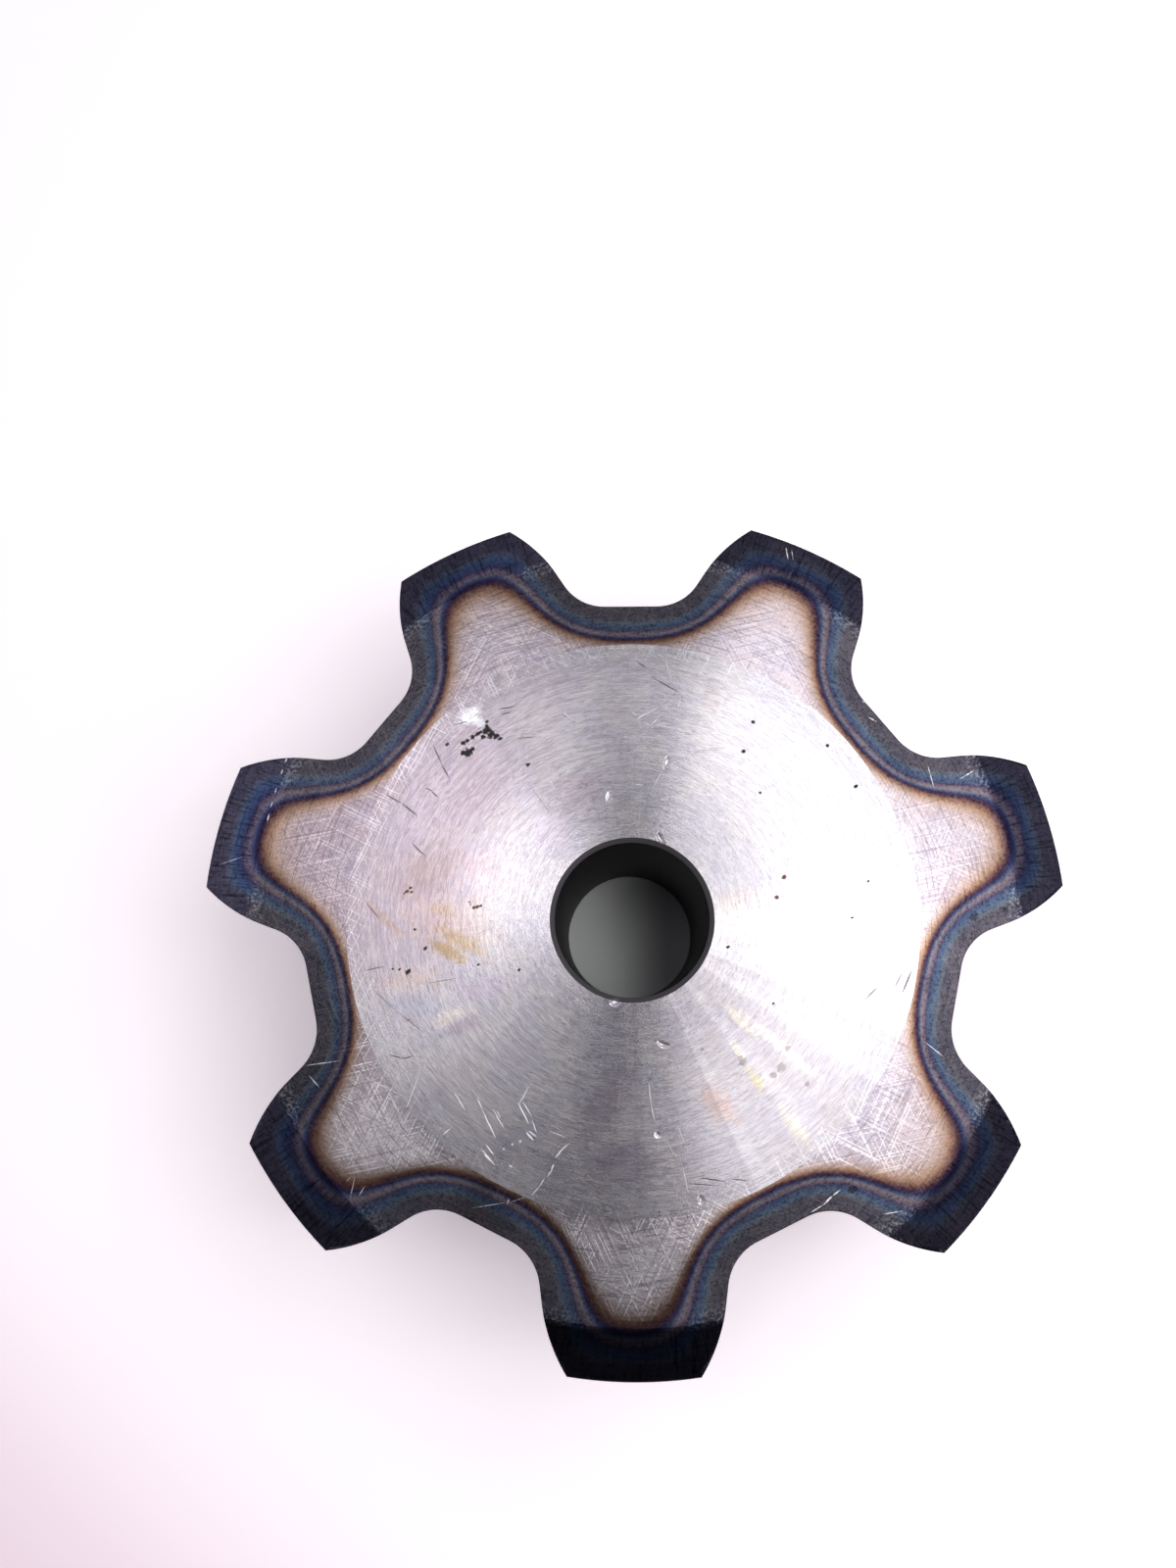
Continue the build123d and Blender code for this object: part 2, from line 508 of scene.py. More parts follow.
class SteelRecipe(Recipe):
    """A recipe for a steel finish, with the places on the sprocket that its patterns follow."""

    def __init__(self, name):
        self.material = bpy.data.materials.new(name)
        self.material.use_nodes = True
        super().__init__(self.material.node_tree)
        here = self.add("ShaderNodeTexCoord").outputs["Object"]
        # In millimetres, and flattened on the plate
        self.place = self.vector("SCALE", here, scale=1 / MM)
        self.flat_place = self.vector("MULTIPLY", self.place, (1.0, 1.0, 0.0))
        self.radius = self.vector("LENGTH", self.flat_place)
        self.outwards = self.vector("NORMALIZE", self.flat_place)
        self.round_axis = self.vector("CROSS_PRODUCT", (0.0, 0.0, 1.0), self.outwards)
        split = self.add("ShaderNodeSeparateXYZ")
        self.feed(split.inputs[0], self.place)
        self.x, self.y, self.z = split.outputs

    def towards(self, angle):
        """1 on the side of the axis that lies at this angle in degrees, and -1 across from it."""
        return self.vector("DOT_PRODUCT", self.outwards, (cos(radians(angle)), sin(radians(angle)), 0.0))

    def rings(self, fineness, stretch, detail=3.0, roughness=0.6):
        """Noise drawn out round the axis, as a lathe tool leaves it. Fineness is per millimetre."""
        place = self.vector("SCALE", self.outwards, scale=stretch)
        split = self.add("ShaderNodeSeparateXYZ")
        self.feed(split.inputs[0], place)
        outward = self.calc("MULTIPLY", self.radius, fineness)
        upward = self.calc("MULTIPLY", self.z, fineness)
        height = self.calc("ADD", outward, upward)
        return self.noise(self.join(split.outputs[0], split.outputs[1], height), 1.0, detail, roughness)

    def lines(self, angle, across, along, detail=1.0):
        """Noise drawn out along one direction on the plate, at an angle in degrees."""
        turned = self.turn(self.flat_place, -angle)
        return self.noise(self.vector("MULTIPLY", turned, (along, across, 0.0)), 1.0, detail, 0.5)

    def scratches(self, x, y, lines):
        """The strongest of several scratch lines at each place."""
        strongest = 0.0
        for x1, y1, x2, y2, width in lines:
            length = hypot(x2 - x1, y2 - y1)
            u, v = (x2 - x1) / length, (y2 - y1) / length
            along = [u / length, v / length, -(x1 * u + y1 * v) / length]
            across = [-v / width, u / width, (x1 * v - y1 * u) / width]
            strongest = self.calc("MAXIMUM", strongest, self.group(SCRATCH, x, y, *along, *across))
        return strongest

    def patch(self, centre, half_size, turn, ragged, softness):
        """A ragged ellipse, with its long side turned by an angle in degrees."""
        u, v = cos(radians(turn)), sin(radians(turn))
        long, wide = half_size
        long_line = [u / long, v / long, -(centre[0] * u + centre[1] * v) / long]
        wide_line = [-v / wide, u / wide, (centre[0] * v - centre[1] * u) / wide]
        return self.group(PATCH, self.x, self.y, *long_line, *wide_line, ragged, 1.0 - softness)

    def specks(self, spots, ragged):
        """The strongest of several small dark spots."""
        strongest = 0.0
        for x, y, size in spots:
            mask = self.patch((x, y), (size, size * 0.8), 30, ragged, 0.5)
            strongest = self.calc("MAXIMUM", strongest, mask)
        return strongest

    def close(self, colour, metallic, roughness, normal, anisotropic, tangent=None, turned=0.0):
        """The shader itself."""
        steel = self.add("ShaderNodeBsdfPrincipled")
        self.feed(steel.inputs["Base Color"], colour)
        self.feed(steel.inputs["Metallic"], metallic)
        self.feed(steel.inputs["Roughness"], roughness)
        self.feed(steel.inputs["Normal"], normal)
        steel.inputs["Anisotropic"].default_value = anisotropic
        steel.inputs["Anisotropic Rotation"].default_value = turned
        if tangent is not None:
            self.feed(steel.inputs["Tangent"], tangent)
        end = self.add("ShaderNodeOutputMaterial")
        self.feed(end.inputs["Surface"], steel.outputs[0])
        return self.material


# Finishes

# The faced disc: light scratches drawn with a painted glint, dark scratches with painted shade edges among
# them, specks, and stains with painted glints among them, from tool and handling, in millimetres
GLINTING_SCRATCHES = [
    (-17.0, 23.0, -13.5, 18.0, 0.037), (-11.6, 35.6, -10.4, 34.7, 0.056), (-10.4, 34.7, -8.8, 33.8, 0.031),
    (1.0, 34.4, 2.7, 35.5, 0.05), (2.4, 35.2, 4.7, 36.5, 0.037), (3.4, 33.4, 4.6, 34.3, 0.05),
    (4.5, 34.4, 5.2, 35.3, 0.031), (5.3, 33.8, 6.1, 33.5, 0.043), (0.3, 35.7, 0.6, 35.3, 0.043),
    (8.2, 36.4, 8.6, 38.6, 0.043), (7.9, 38.0, 8.1, 36.6, 0.019), (5.8, 39.6, 6.0, 37.8, 0.019),
    (10.4, 28.7, 13.4, 28.9, 0.037), (13.0, 29.1, 16.2, 29.3, 0.037), (5.9, 45.6, 7.0, 41.4, 0.031),
    (5.2, 25.2, 3.8, 22.4, 0.037), (0.9, 22.9, 1.8, 22.9, 0.043), (-34.5, -24.0, -38.2, -34.4, 0.037),
    (-29.1, -28.2, -27.2, -31.2, 0.043), (-25.5, -28.9, -24.4, -31.0, 0.037),
    (-24.5, -31.0, -22.2, -35.5, 0.05), (-22.7, -30.8, -20.9, -33.9, 0.043),
    (-22.2, -30.9, -21.4, -32.4, 0.031), (-18.7, -29.8, -16.9, -33.2, 0.056),
    (-18.0, -29.6, -16.4, -32.0, 0.043), (-16.9, -27.1, -18.6, -30.2, 0.05),
    (-16.4, -32.4, -15.6, -34.6, 0.043), (-17.3, -34.4, -16.1, -35.8, 0.068),
    (-16.9, -34.2, -15.6, -35.2, 0.05), (-24.6, -37.0, -22.3, -39.6, 0.062),
    (-23.9, -36.3, -22.5, -38.0, 0.056), (-24.1, -37.9, -23.0, -39.0, 0.05),
    (-21.1, -37.1, -20.7, -37.0, 0.087), (-19.7, -36.5, -19.3, -36.3, 0.087),
    (-18.4, -36.0, -18.0, -35.8, 0.099), (-20.0, -39.6, -19.5, -39.9, 0.056),
    (-13.6, -34.2, -10.9, -35.3, 0.031), (-10.4, -36.2, -12.0, -37.6, 0.05),
    (-11.3, -37.0, -12.6, -38.5, 0.062), (-12.8, -39.4, -13.2, -40.4, 0.062),
    (-13.0, -40.2, -13.9, -41.5, 0.05), (-14.2, -41.6, -15.2, -43.0, 0.043),
    (-15.1, -42.8, -16.4, -44.4, 0.037), (2.6, -26.4, 3.0, -30.4, 0.037), (3.0, -30.0, 3.5, -32.7, 0.037),
    (7.1, -32.9, 8.7, -36.9, 0.037), (8.0, -39.8, 8.8, -43.6, 0.037), (5.0, -35.0, 7.1, -38.7, 0.019),
    (-29.6, -33.8, -30.9, -35.0, 0.056), (-44.6, -40.4, -44.9, -42.0, 0.05),
    (-23.2, 5.0, -23.1, -1.6, 0.03), (-23.3, -1.4, -26.0, -2.6, 0.025), (-26.4, 4.0, -26.2, -1.8, 0.025),
    (-30.5, -7.6, -27.4, -7.3, 0.03),
]
DARK_SCRATCHES_AND_SHADE_EDGES = [
    # The first eight are painted shade: dark edges along one side of light scratches
    (-17.3, 22.8, -13.8, 17.8, 0.02), (-11.9, 35.3, -10.6, 34.4, 0.024), (-10.6, 34.4, -9.1, 33.5, 0.018),
    (0.9, 34.1, 2.6, 35.2, 0.018), (3.5, 33.1, 4.7, 34.0, 0.02), (4.9, 25.3, 3.5, 22.5, 0.024),
    (10.4, 28.4, 13.4, 28.6, 0.016), (13.0, 28.8, 16.2, 29.0, 0.016), (-34.2, 30.2, -32.6, 26.7, 0.079),
    (-32.8, 26.9, -31.0, 23.8, 0.072), (-42.0, 21.3, -39.2, 19.8, 0.072), (-39.4, 19.9, -36.3, 17.5, 0.079),
    (-35.3, 22.4, -34.0, 21.9, 0.058), (-34.2, 21.9, -33.0, 20.7, 0.072), (-20.2, 31.0, -16.0, 31.4, 0.05),
    (-23.0, 36.2, -19.8, 36.8, 0.072), (-22.5, 35.4, -20.6, 35.7, 0.058), (-30.8, 33.4, -28.0, 34.2, 0.058),
    (0.7, 44.9, 3.0, 43.3, 0.072), (3.0, 42.2, 9.0, 38.7, 0.072), (-43.5, -11.2, -39.0, -15.2, 0.03),
    (-39.3, -14.9, -33.8, -19.1, 0.035), (-40.2, -22.2, -37.6, -22.8, 0.058),
    (-38.0, -22.9, -35.9, -22.3, 0.058), (-45.0, -8.6, -40.8, -7.7, 0.05),
    (-34.0, -10.6, -28.6, -9.6, 0.025), (-45.0, 3.2, -42.2, -0.2, 0.05), (10.0, -41.5, 15.2, -42.1, 0.072),
    (15.2, -41.6, 18.8, -42.0, 0.058), (7.9, -42.4, 14.0, -42.7, 0.058), (44.3, -12.4, 46.3, -8.1, 0.079),
    (43.2, -11.4, 44.6, -8.8, 0.05), (38.0, -13.6, 40.8, -10.8, 0.058), (-37.4, 13.0, -34.8, 10.6, 0.072),
]
BLACK_SPECKS = [
    (-28.0, 28.6, 0.9), (-28.9, 28.5, 0.55), (-27.4, 29.1, 0.55), (-28.9, 30.3, 0.5), (-28.2, 30.7, 0.42),
    (-27.3, 31.3, 0.45), (-26.5, 31.9, 0.45), (-25.9, 32.2, 0.38), (-24.9, 32.5, 0.9), (-25.5, 31.4, 0.45),
    (-24.9, 33.3, 0.42), (-24.9, 34.1, 0.38), (-24.1, 31.8, 0.8), (-23.3, 31.5, 0.65), (-22.6, 31.0, 0.4),
    (-31.7, 30.1, 0.4), (-17.7, 26.4, 0.4), (-37.3, -8.7, 0.5), (-38.7, -8.3, 0.25), (-39.9, -8.2, 0.2),
    (-18.8, -8.4, 0.3), (-25.6, -7.5, 0.25), (-36.4, -1.7, 0.28), (-34.5, -4.8, 0.4), (21.9, 21.4, 0.3),
    (15.9, -4.6, 0.32), (23.2, -13.9, 0.25), (39.6, 6.3, 0.26), (33.6, 29.6, 0.35), (21.0, 33.8, 0.4),
    (19.2, 28.6, 0.4), (36.6, 0.2, 0.26), (38.1, 22.5, 0.4), (39.2, -30.3, 0.3),
]
RUST_SPECKS = [
    (-37.9, 4.7, 0.42), (-37.3, 5.3, 0.34), (-37.1, 4.6, 0.30), (-38.3, 4.4, 0.24), (-26.5, 1.95, 0.36),
    (-25.9, 2.1, 0.40), (-25.4, 2.25, 0.30), (-27.2, 2.9, 0.22), (-27.1, 2.5, 0.16), (25.5, 7.0, 0.5),
    (24.2, 3.6, 0.45),
]
# Thin spots of dirt that only dull the metal
DULL_SPECKS = [
    (18.0, -23.3, 0.8), (17.6, -22.6, 0.5), (24.2, -24.2, 0.95), (22.9, -25.4, 0.7), (25.3, -21.1, 0.6),
    (11.4, -21.3, 0.4), (28.4, -26.8, 0.5), (-37.0, -16.6, 0.4),
]
STAINS_AND_GLINTS = [
    ((-30.3, -0.6), (11.5, 6.5), -25, shade(216, 201, 194), 0.62),
    ((-30.8, -5.2), (4.4, 1.7), -28, shade(186, 164, 112), 0.74),
    ((-28.6, -3.6), (6.0, 1.8), -27, shade(196, 176, 132), 0.66),
    ((-31.7, 1.4), (3.2, 1.5), -20, shade(206, 190, 160), 0.55),
    ((-34.6, 8.0), (8.5, 5.4), 25, shade(190, 178, 174), 0.60),
    ((-24.5, 8.0), (7.5, 6.0), 10, shade(222, 208, 208), 0.50),
    ((-37.5, -9.7), (7.0, 2.6), 4, shade(212, 197, 190), 0.60),
    ((-36.6, -14.0), (6.5, 2.4), -12, shade(186, 188, 206), 0.50),
    ((-30.2, -16.0), (4.6, 1.8), 28, shade(236, 224, 216), 0.60),
    ((-27.4, -17.6), (5.0, 1.6), 20, shade(180, 162, 180), 0.45),
    ((-24.6, -11.4), (6.5, 2.6), 8, shade(200, 186, 204), 0.50),
    ((-41.5, 0.0), (6.5, 1.2), -46, shade(208, 188, 166), 0.50),
    ((-14.0, 15.0), (5.5, 4.0), -20, shade(214, 202, 216), 0.50),
    ((-15.0, 41.0), (9.0, 5.0), -5, shade(188, 176, 188), 0.50),
    ((-10.0, 21.5), (7.5, 5.5), 20, shade(186, 172, 184), 0.55),
    ((-27.0, 20.0), (9.0, 6.0), 40, shade(196, 190, 202), 0.45),
    ((-4.5, -30.0), (10.0, 4.0), 58, shade(158, 142, 160), 0.45),
    ((-1.0, -39.5), (9.0, 5.0), 0, shade(152, 140, 160), 0.42),
    ((14.0, -30.0), (5.0, 2.8), -45, shade(206, 172, 160), 0.50),
    # Painted glints: these five pale streaks to the lower right stand in for light caught on the disc
    ((24.0, -20.6), (11.0, 1.1), -40, shade(246, 242, 234), 0.60),
    ((17.4, -16.4), (5.0, 1.0), -46, shade(242, 239, 218), 0.60),
    ((17.2, -21.4), (2.6, 0.9), -55, shade(240, 237, 216), 0.60),
    ((20.0, -26.0), (3.4, 1.0), -56, shade(226, 218, 168), 0.62),
    ((26.2, -33.4), (5.5, 1.5), -52, shade(240, 236, 214), 0.55),
    ((14.0, 38.4), (1.8, 3.8), 10, shade(190, 174, 168), 0.36),
    ((18.0, 3.2), (5.0, 3.2), 15, shade(198, 184, 172), 0.36),
]

# Where the metal is rubbed bright, written as the stains are
RUBBED = [
    ((-27.9, 35.1), (3.0, 1.9), 30, shade(244, 247, 254), 0.85),
    ((-26.2, 34.0), (2.0, 1.0), -30, shade(238, 241, 250), 0.75),
]

# Painted light and shade on the scale of each tooth's bevel: its brightness by the tooth's direction in
# degrees
BEVEL_PAINTED_LIGHT = (
    (115.7, 0.90),
    (64.3, 0.52),
    (12.9, 0.44),
    (-38.6, 0.24),
    (-90.0, 0.28),
    (-141.4, 0.88),
    (167.1, 1.30),
)

# Grinding strokes: angle in degrees, and how fine they are across and along, per millimetre
HATCH = ((-64, 4.0, 0.055), (-26, 3.7, 0.05), (64, 4.1, 0.055), (12, 3.8, 0.05))

# The faced disc is finished in slices, so that each slice carries its own marks alone
SLICES = 6
FIRST_SLICE = -150


def line_middle(line):
    """The middle and half length of a scratch."""
    x1, y1, x2, y2, _ = line
    return (x1 + x2) / 2, (y1 + y2) / 2, hypot(x2 - x1, y2 - y1) / 2


def in_slice(number, x, y, size):
    """Whether a mark of this size reaches into a slice of the faced disc."""
    middle = radians(FIRST_SLICE + number * 360 / SLICES)
    away = abs((atan2(y, x) - middle + pi) % (2 * pi) - pi)
    spread = (size + 1.5) / max(hypot(x, y), size + 1.5)
    return away < pi / SLICES + asin(spread)


def faced_steel(name, slice_number=None):
    """Bright steel, faced in a lathe: fine rings that throw the light out in fans."""
    steel = SteelRecipe(name)
    fine = steel.rings(8.0, 26.0, 1.0, 0.7)
    strands = steel.rings(6.5, 11.0, 2.0, 0.6)
    broad = steel.rings(1.6, 5.0, 2.0, 0.6)
    cloud = steel.noise(steel.flat_place, 0.10, 3.0, 0.65)
    grain = steel.noise(steel.place, 5.0, 1.0, 0.6)
    colour = steel.mix(steel.fade(cloud, 0.38, 0.62), shade(201, 198, 207), shade(208, 204, 207))
    marked = 0.0
    covered = 0.0
    scored = 0.0
    if slice_number is not None:
        stains_and_glints = [s for s in STAINS_AND_GLINTS if in_slice(slice_number, *s[0], max(s[1]) * 1.5)]
        ragged = steel.calc("MULTIPLY_ADD", steel.noise(steel.flat_place, 0.5, 3.0, 0.75), 1.5, -0.8)
        # Stains, and the painted glints among them
        for centre, half_size, turn, patch_colour, strength in stains_and_glints:
            mask = steel.patch(centre, half_size, turn, ragged, 0.8)
            colour = steel.mix(steel.calc("MULTIPLY", mask, strength, clamp=True), colour, patch_colour)
        # The outer left of the disc is dimmed
        facing_left = steel.towards(158)
        well_in = steel.fade(steel.radius, 21.0, 34.0)
        left_dimming = steel.calc("MULTIPLY", steel.fade(facing_left, 0.6, 0.96), well_in)
        colour = steel.mix(left_dimming, colour, (0.64, 0.575, 0.60, 1.0), "MULTIPLY")
        # Painted shade and light: darker near the bore, brighter further out, and darker again near the
        # disc's rim
        level = steel.fade(steel.radius, 14.0, 34.0, 0.87, 1.14)
        level = steel.calc("MULTIPLY", level, steel.fade(steel.radius, 40.0, FACED_RADIUS, 1.0, 0.84))
        colour = steel.vector("SCALE", colour, scale=level)
        for centre, half_size, turn, patch_colour, strength in RUBBED:
            if in_slice(slice_number, *centre, max(half_size) * 1.5):
                mask = steel.patch(centre, half_size, turn, ragged, 0.8)
                colour = steel.mix(steel.calc("MULTIPLY", mask, strength, clamp=True), colour, patch_colour)
    # Tool lines and grit, darker in their troughs
    colour = steel.mix(steel.fade(fine, 0.52, 0.34, 0.0, 0.48), colour, shade(196, 193, 198), "MULTIPLY")
    colour = steel.mix(steel.fade(strands, 0.50, 0.33, 0.0, 0.26), colour, shade(204, 200, 206), "MULTIPLY")
    colour = steel.mix(steel.fade(strands, 0.55, 0.70, 0.0, 0.10), colour, shade(250, 249, 251))
    colour = steel.mix(steel.fade(grain, 0.46, 0.28, 0.0, 0.5), colour, shade(198, 194, 200), "MULTIPLY")
    colour = steel.mix(steel.fade(broad, 0.40, 0.62, 0.0, 0.7), colour, shade(238, 235, 238), "MULTIPLY")
    # Painted reflection: faint rays, plainest to the lower right
    rays = steel.noise(steel.vector("SCALE", steel.outwards, scale=8.0), 1.0, 1.0, 0.7)
    towards = steel.towards(-50)
    ray_strength = steel.fade(towards, 0.7, 0.95, 0.15, 0.8)
    ray = steel.calc("MULTIPLY", steel.fade(rays, 0.58, 0.42), ray_strength)
    colour = steel.mix(ray, colour, shade(234, 232, 233), "MULTIPLY")
    if slice_number is not None:
        # The grinding outside the disc strays over its rim
        strayed = steel.fade(steel.radius, FACED_RADIUS - 5.5, FACED_RADIUS)
        for angle, across, along in HATCH[:3]:
            line = steel.lines(angle, across, along, 0.0)
            stroke = steel.calc("MULTIPLY", steel.fade(line, 0.60, 0.72, 0.0, 0.24), strayed)
            colour = steel.mix(stroke, colour, shade(248, 245, 249))
        glinting_lines = [s for s in GLINTING_SCRATCHES if in_slice(slice_number, *line_middle(s))]
        dark_lines_and_shade_edges = [s for s in DARK_SCRATCHES_AND_SHADE_EDGES if in_slice(slice_number, *line_middle(s))]
        black_spots = [s for s in BLACK_SPECKS if in_slice(slice_number, *s)]
        rust_spots = [s for s in RUST_SPECKS if in_slice(slice_number, *s)]
        dull_spots = [s for s in DULL_SPECKS if in_slice(slice_number, *s)]
        wander = steel.add("ShaderNodeSeparateColor")
        steel.feed(wander.inputs[0], steel.noise(steel.flat_place, 0.6, 1.0, 0.5, colour=True))
        bent_x = steel.calc("MULTIPLY_ADD", wander.outputs[0], 0.2, steel.calc("SUBTRACT", steel.x, 0.1))
        bent_y = steel.calc("MULTIPLY_ADD", wander.outputs[1], 0.2, steel.calc("SUBTRACT", steel.y, 0.1))
        light = steel.scratches(bent_x, bent_y, glinting_lines)
        dark = steel.scratches(bent_x, bent_y, dark_lines_and_shade_edges)
        small_ragged = steel.calc("MULTIPLY_ADD", steel.noise(steel.flat_place, 2.2, 2.0, 0.7), 1.3, -0.75)
        # Dark scratches, and painted shade along one side of some light ones
        colour = steel.mix(steel.calc("MULTIPLY", dark, 0.9), colour, shade(84, 78, 88))
        # Painted glint: the light scratches are drawn near white
        light = steel.calc("MULTIPLY", light, steel.fade(small_ragged, 0.25, -0.15, 0.35, 0.95))
        colour = steel.mix(light, colour, shade(252, 250, 253))
        dull = steel.calc("MULTIPLY", steel.specks(dull_spots, small_ragged), 0.5)
        rust = steel.specks(rust_spots, small_ragged)
        black = steel.specks(black_spots, steel.calc("MULTIPLY", small_ragged, 1.7))
        colour = steel.mix(dull, colour, shade(112, 98, 98))
        colour = steel.mix(rust, colour, shade(110, 70, 44))
        colour = steel.mix(black, colour, shade(16, 12, 16))
        covered = steel.calc("MAXIMUM", rust, black)
        marked = steel.calc("MAXIMUM", covered, light)
        scored = steel.calc("MAXIMUM", light, dark)
    normal = steel.bump(steel.calc("MULTIPLY_ADD", grain, 0.5, fine), 0.013)
    normal = steel.bump(steel.calc("SUBTRACT", 1.0, scored), 0.03, normal)
    roughness = steel.calc("MULTIPLY_ADD", cloud, 0.06, 0.21)
    roughness = steel.mix_value(marked, roughness, 0.55)
    metallic = steel.calc("MULTIPLY_ADD", covered, -0.9, 1.0)
    return steel.close(colour, metallic, roughness, normal, 0.92, steel.round_axis, 0.25)


# Heat colours from the rim inwards: depth in millimetres and colour
HEAT_COLOURS = [
    (0.0, shade(74, 72, 79)),
    (2.3, shade(72, 71, 78)),
    (2.75, shade(80, 86, 93)),
    (3.2, shade(74, 88, 102)),
    (3.6, shade(65, 81, 103)),
    (4.1, shade(61, 71, 93)),
    (4.4, shade(62, 62, 82)),
    (4.6, shade(94, 81, 88)),
    (4.8, shade(96, 93, 103)),
    (5.0, shade(112, 101, 103)),
    (5.15, shade(98, 99, 109)),
    (5.35, shade(66, 74, 97)),
    (5.6, shade(43, 42, 69)),
    (5.75, shade(54, 41, 60)),
    (5.9, shade(66, 47, 53)),
    (6.05, shade(88, 64, 58)),
    (6.25, shade(110, 85, 72)),
    (6.5, shade(135, 110, 91)),
    (6.8, shade(155, 134, 118)),
    (7.15, shade(168, 152, 142)),
    (7.5, shade(176, 164, 160)),
    (8.1, shade(184, 176, 178)),
    (9.5, shade(194, 189, 193)),
]
DEEPEST_HEAT = 9.5


# Scuffs and scratches outside the faced disc that catch the light, and the knocks that darkened the scale
RIM_SCRATCHES = [
    (4.3, -55.7, -1.6, -53.2, 0.041), (-1.4, -53.4, -7.2, -51.9, 0.041), (2.0, -63.6, -2.7, -59.0, 0.032),
    (1.7, -52.0, -5.0, -49.7, 0.032), (-16.2, -44.1, -20.2, -45.5, 0.041),
    (-20.0, -45.3, -26.5, -46.3, 0.032), (-19.9, -44.6, -20.3, -45.8, 0.065),
    (-45.6, -45.0, -44.8, -41.0, 0.049), (-46.4, -42.4, -45.4, -41.2, 0.049),
    (-43.2, -42.8, -44.3, -44.6, 0.049), (-54.2, -24.0, -47.6, -23.1, 0.041),
    (-53.2, -25.4, -51.0, -27.7, 0.049), (-70.6, 9.3, -65.4, 10.9, 0.041), (58.8, 25.5, 55.5, 23.5, 0.049),
    (50.3, 26.6, 51.4, 21.7, 0.032), (43.2, -46.4, 39.6, -47.0, 0.041), (50.8, -22.6, 47.6, -20.0, 0.041),
    (27.6, 66.0, 27.9, 63.4, 0.081), (28.6, 65.6, 28.8, 63.2, 0.049), (39.5, 37.5, 41.9, 36.4, 0.081),
    (40.6, 34.6, 42.2, 33.7, 0.049), (-62.2, 16.4, -61.8, 18.2, 0.073), (-61.7, 19.0, -61.3, 20.4, 0.065),
    (-61.1, 21.4, -60.8, 22.6, 0.065), (-60.2, 24.8, -59.9, 25.9, 0.081), (-59.6, 26.8, -59.3, 28.0, 0.081),
    (28.2, -46.8, 30.4, -45.5, 0.057), (30.2, -45.7, 32.0, -44.0, 0.089), (31.8, -44.2, 33.2, -43.2, 0.073),
]
BURNT_SPOTS = [
    (62.2, 1.6, 0.8), (56.9, 0.3, 0.9), (34.9, -43.3, 0.9), (28.6, -53.0, 0.5),
]


